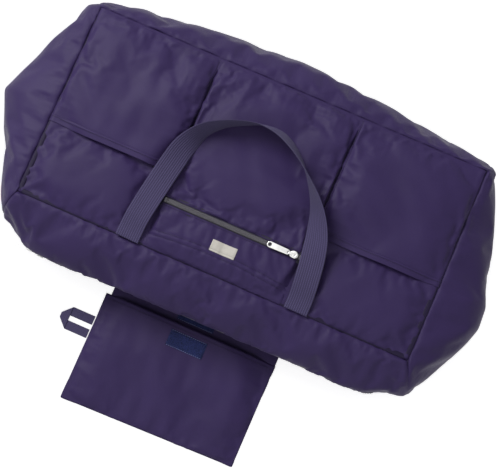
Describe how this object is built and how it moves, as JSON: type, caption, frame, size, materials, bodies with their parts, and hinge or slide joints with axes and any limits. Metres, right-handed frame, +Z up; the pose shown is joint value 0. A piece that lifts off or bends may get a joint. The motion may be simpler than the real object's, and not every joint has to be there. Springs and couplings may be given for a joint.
{
  "type": "foldable tote bag",
  "caption": "Foldable zipped travel tote lying flat, with front pockets, webbing handles and its own hook-and-loop storage pouch with a hanging loop.",
  "frame": {"origin": "on the floor, below the middle of the whole object box, pouch included", "axes": "+X along the bag, +Y from the mouth to the base, +Z up from the floor through the front panel"},
  "size_m": [0.62, 0.4684, 0.1232],
  "materials": {
    "bag_fabric": "fine plain-weave nylon, aubergine",
    "seam_binding": "bound seam tape, dark aubergine",
    "webbing": "ribbed woven webbing",
    "narrow_tape": "narrow woven tape",
    "zip_tape": "dark woven zip tape",
    "zip_coil": "moulded grey coil",
    "zip_metal": "bright cast metal",
    "label": "blank ivory woven label",
    "hook_and_loop": "blue hook and loop"
  },
  "bodies": {
    "bag": {"front_panel": "bag_fabric", "back_panel": "bag_fabric", "front_seam_binding": "seam_binding", "back_seam_binding": "seam_binding", "base_gusset": "bag_fabric", "left_end_gusset": "bag_fabric", "right_end_gusset": "bag_fabric", "mouth_gusset_back": "bag_fabric", "mouth_gusset_ends": "bag_fabric", "left_slip_pocket": "bag_fabric", "right_slip_pocket": "bag_fabric", "center_pocket_panel": "bag_fabric", "zip_facing": "bag_fabric", "blank_label": "label", "pocket_zip_tape": "zip_tape", "pocket_zip_coils": "zip_coil", "pocket_zip_stops": "zip_metal", "main_zip_tape": "zip_tape", "main_zip_coils": "zip_coil", "main_zip_stops": "zip_metal"},
    "mouth_lip": {"mouth_gusset_front": "bag_fabric", "lip_zip_tape": "zip_tape", "lip_zip_coil": "zip_coil"},
    "main_slider": {"main_zip_slider": "zip_metal"},
    "main_pull": {"main_zip_pull": "zip_metal"},
    "pocket_slider": {"pocket_zip_slider": "zip_metal"},
    "pocket_pull": {"pocket_zip_pull": "zip_metal"},
    "front_handle": {"front_handle": "webbing"},
    "back_handle": {"back_handle": "webbing"},
    "pouch": {"pouch_back": "bag_fabric", "pouch_front": "bag_fabric", "loop_patch": "hook_and_loop"},
    "flap": {"pouch_flap": "bag_fabric", "hook_patch": "hook_and_loop"},
    "loop_tab": {"pouch_loop_tab": "narrow_tape"}
  },
  "joints": [
    {"name": "front_handle_swing", "type": "hinge", "parent": "bag", "child": "front_handle", "pos_m": [0.002, -0.03475, 0.0876], "axis": [1, 0, 0], "range_deg": [0, 130]},
    {"name": "back_handle_swing", "type": "hinge", "parent": "bag", "child": "back_handle", "pos_m": [0.002, -0.03475, 0.001], "axis": [-1, 0, 0], "range_deg": [0, 130]},
    {"name": "mouth_lip_open", "type": "hinge", "parent": "bag", "child": "mouth_lip", "pos_m": [0.002, -0.03475, 0.0854], "axis": [-1, 0, 0], "range_deg": [0, 34]},
    {"name": "main_slider_slide", "type": "slide", "parent": "bag", "child": "main_slider", "axis": [1, 0, 0], "range_m": [0, 0.385]},
    {"name": "main_pull_swing", "type": "hinge", "parent": "main_slider", "child": "main_pull", "pos_m": [-0.1905, -0.09, 0.0448], "axis": [0, 0, 1], "range_deg": [0, 160]},
    {"name": "pocket_slider_slide", "type": "slide", "parent": "bag", "child": "pocket_slider", "axis": [-1, 0, 0], "range_m": [0, 0.148]},
    {"name": "pocket_pull_swing", "type": "hinge", "parent": "pocket_slider", "child": "pocket_pull", "pos_m": [0.0785, 0.02275, 0.0954], "axis": [0, 1, 0], "range_deg": [0, 105]},
    {"name": "pouch_slide", "type": "slide", "parent": "bag", "child": "pouch", "axis": [0, -1, 0], "range_m": [0, 0.08]},
    {"name": "flap_fold", "type": "hinge", "parent": "pouch", "child": "flap", "pos_m": [0.004, -0.09825, 0.007], "axis": [1, 0, 0], "range_deg": [0, 180]},
    {"name": "loop_tab_lift", "type": "hinge", "parent": "pouch", "child": "loop_tab", "pos_m": [-0.1072, -0.14825, 0.00075], "axis": [0, 1, 0], "range_deg": [0, 85]}
  ]
}
